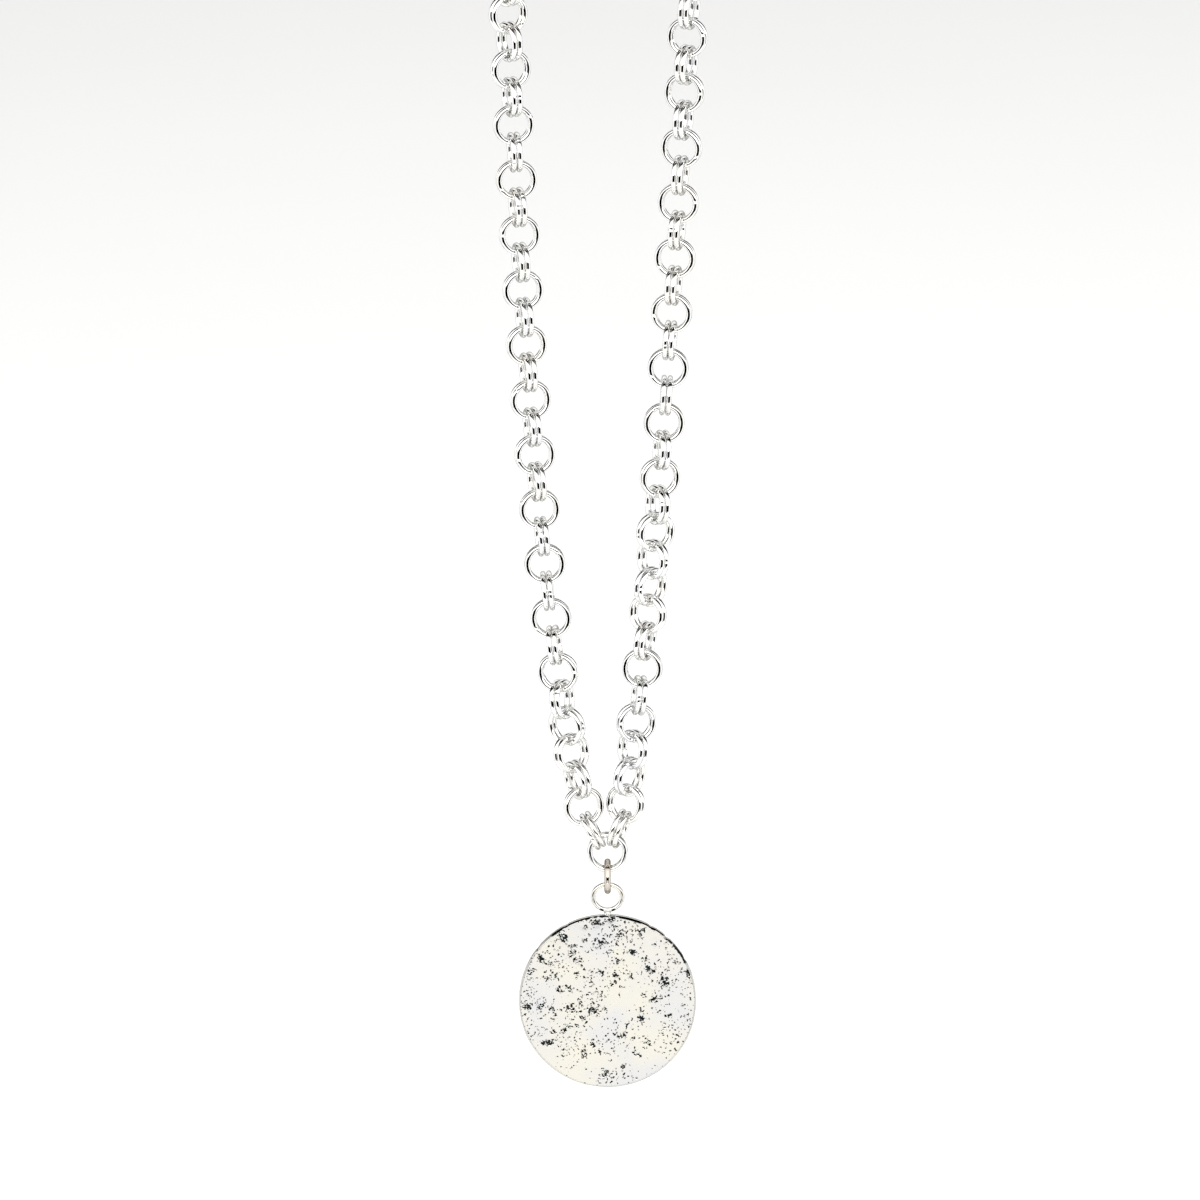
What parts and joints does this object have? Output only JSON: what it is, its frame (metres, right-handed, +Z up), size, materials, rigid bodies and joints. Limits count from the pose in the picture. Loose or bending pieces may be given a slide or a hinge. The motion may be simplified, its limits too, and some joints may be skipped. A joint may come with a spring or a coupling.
{
  "type": "disc pendant necklace",
  "caption": "Round pitted disc pendant with a wire eye and jump ring, hanging on a closed loop of doubled round-ring chain with a plain clasp.",
  "frame": {"origin": "underside of the clasp's neck at the top of the loop, where the necklace hangs", "axes": "+Z up along the hanging loop, the disc's pitted face towards -Y, +X to the right seen from the front"},
  "size_m": [0.0364, 0.0058, 0.2491],
  "materials": {
    "pitted_silver": "bright silver plate, smooth between clusters of fine dark pits",
    "warm_silver": "bright silver plate with a slight warm tarnish",
    "chain_silver": "bright polished silver plate"
  },
  "bodies": {
    "necklace": {"centre_link": "chain_silver", "chain_left": "chain_silver", "chain_right": "chain_silver", "end_ring_left": "chain_silver", "end_ring_right": "chain_silver", "clasp": "chain_silver"},
    "jump": {"jump_ring": "warm_silver"},
    "pendant": {"pendant_disc": "pitted_silver"}
  },
  "joints": [
    {"name": "ring_sway", "type": "hinge", "parent": "necklace", "child": "jump", "pos_m": [0.0021, 0, -0.21254], "axis": [0, 1, 0], "range_deg": [-60, 60]},
    {"name": "disc_swing", "type": "hinge", "parent": "jump", "child": "pendant", "pos_m": [0.0021, 0, -0.21574], "axis": [1, 0, 0], "range_deg": [-100, 100]}
  ]
}
